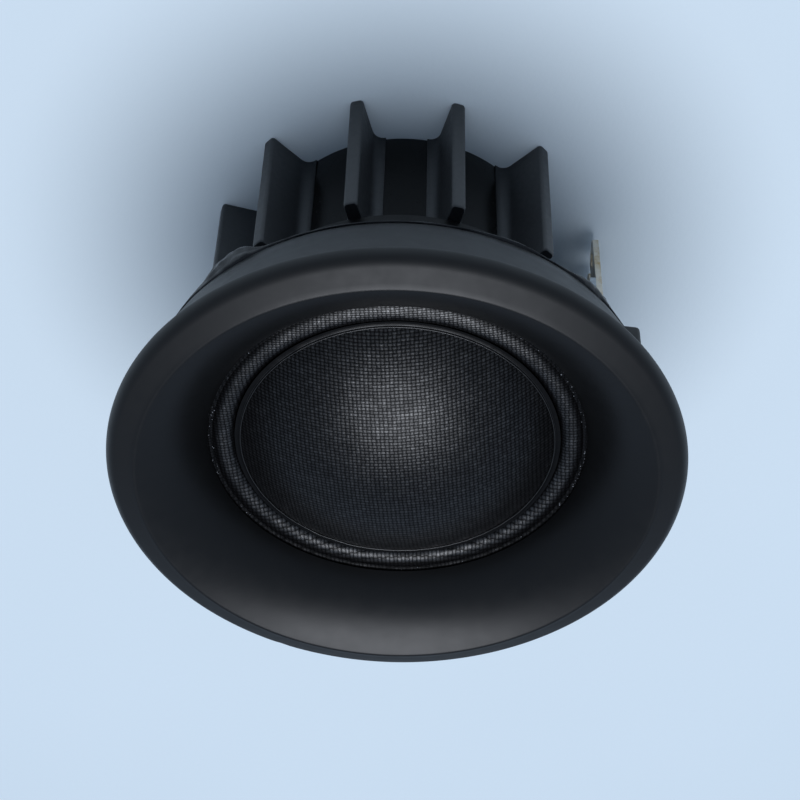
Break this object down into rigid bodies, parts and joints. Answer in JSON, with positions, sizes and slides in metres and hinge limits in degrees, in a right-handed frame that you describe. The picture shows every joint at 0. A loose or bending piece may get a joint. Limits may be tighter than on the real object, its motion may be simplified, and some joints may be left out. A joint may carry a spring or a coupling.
{
  "type": "car tweeter",
  "caption": "Fabric dome car tweeter in a flared black waveguide, with a finned heat sink on its motor and two push-on tabs at its side.",
  "frame": {"origin": "on the axis, in the rear plane of the heat sink's core and fins, which it stands on", "axes": "+Z along the axis the way the tweeter fires, -Y to the side seen in front, -X through the terminal board"},
  "size_m": [0.0452, 0.0452, 0.0293],
  "materials": {
    "moulded_black": "satin moulded black plastic",
    "chassis_black": "matt moulded black plastic, glass filled",
    "coated_fabric": "black woven fabric with a thin damping coat",
    "black_adhesive": "cured black adhesive, half gloss",
    "foam": "closed-cell foam, dark grey",
    "ring_plastic": "moulded dark grey plastic",
    "polyimide": "amber polyimide film",
    "copper": "enamelled copper",
    "bright_nickel": "nickel plated",
    "zinc_steel": "zinc plated steel, turned",
    "coated_steel": "pressed steel, thin black dip coat",
    "felt": "pressed grey felt",
    "oil_film": "dark magnetic oil",
    "silicone_pad": "soft grey-blue silicone",
    "anodised_black": "black anodised aluminium casting",
    "black_screw": "blackened steel",
    "fibre_board": "pale resin-bonded glass board",
    "tinned_brass": "thinly tinned brass, stamped",
    "solder": "dull solder with burnt flux"
  },
  "bodies": {
    "housing": {"waveguide": "moulded_black", "gasket": "foam", "surround": "coated_fabric", "surround_ring": "ring_plastic", "chassis": "chassis_black", "body_screws": "black_screw", "sealant_bead": "black_adhesive", "lead_wires": "copper", "damping_pad": "felt", "shorting_cap": "copper", "pole_plate": "zinc_steel", "magnet": "bright_nickel", "pot": "coated_steel", "ferrofluid": "oil_film", "thermal_pad": "silicone_pad", "heat_sink": "anodised_black", "centre_screw": "black_screw", "terminal_board": "fibre_board", "terminal_tabs": "tinned_brass", "tab_rivets": "tinned_brass", "solder_joints": "solder"},
    "diaphragm": {"dome": "coated_fabric", "joint_bead": "black_adhesive", "coil_former": "polyimide", "voice_coil": "copper"}
  },
  "joints": [
    {"name": "dome_travel", "type": "slide", "parent": "housing", "child": "diaphragm", "axis": [0, 0, 1], "range_m": [-0.00035, 0.00035], "stiffness_N_per_m": 10000, "deforming": ["surround"]}
  ]
}
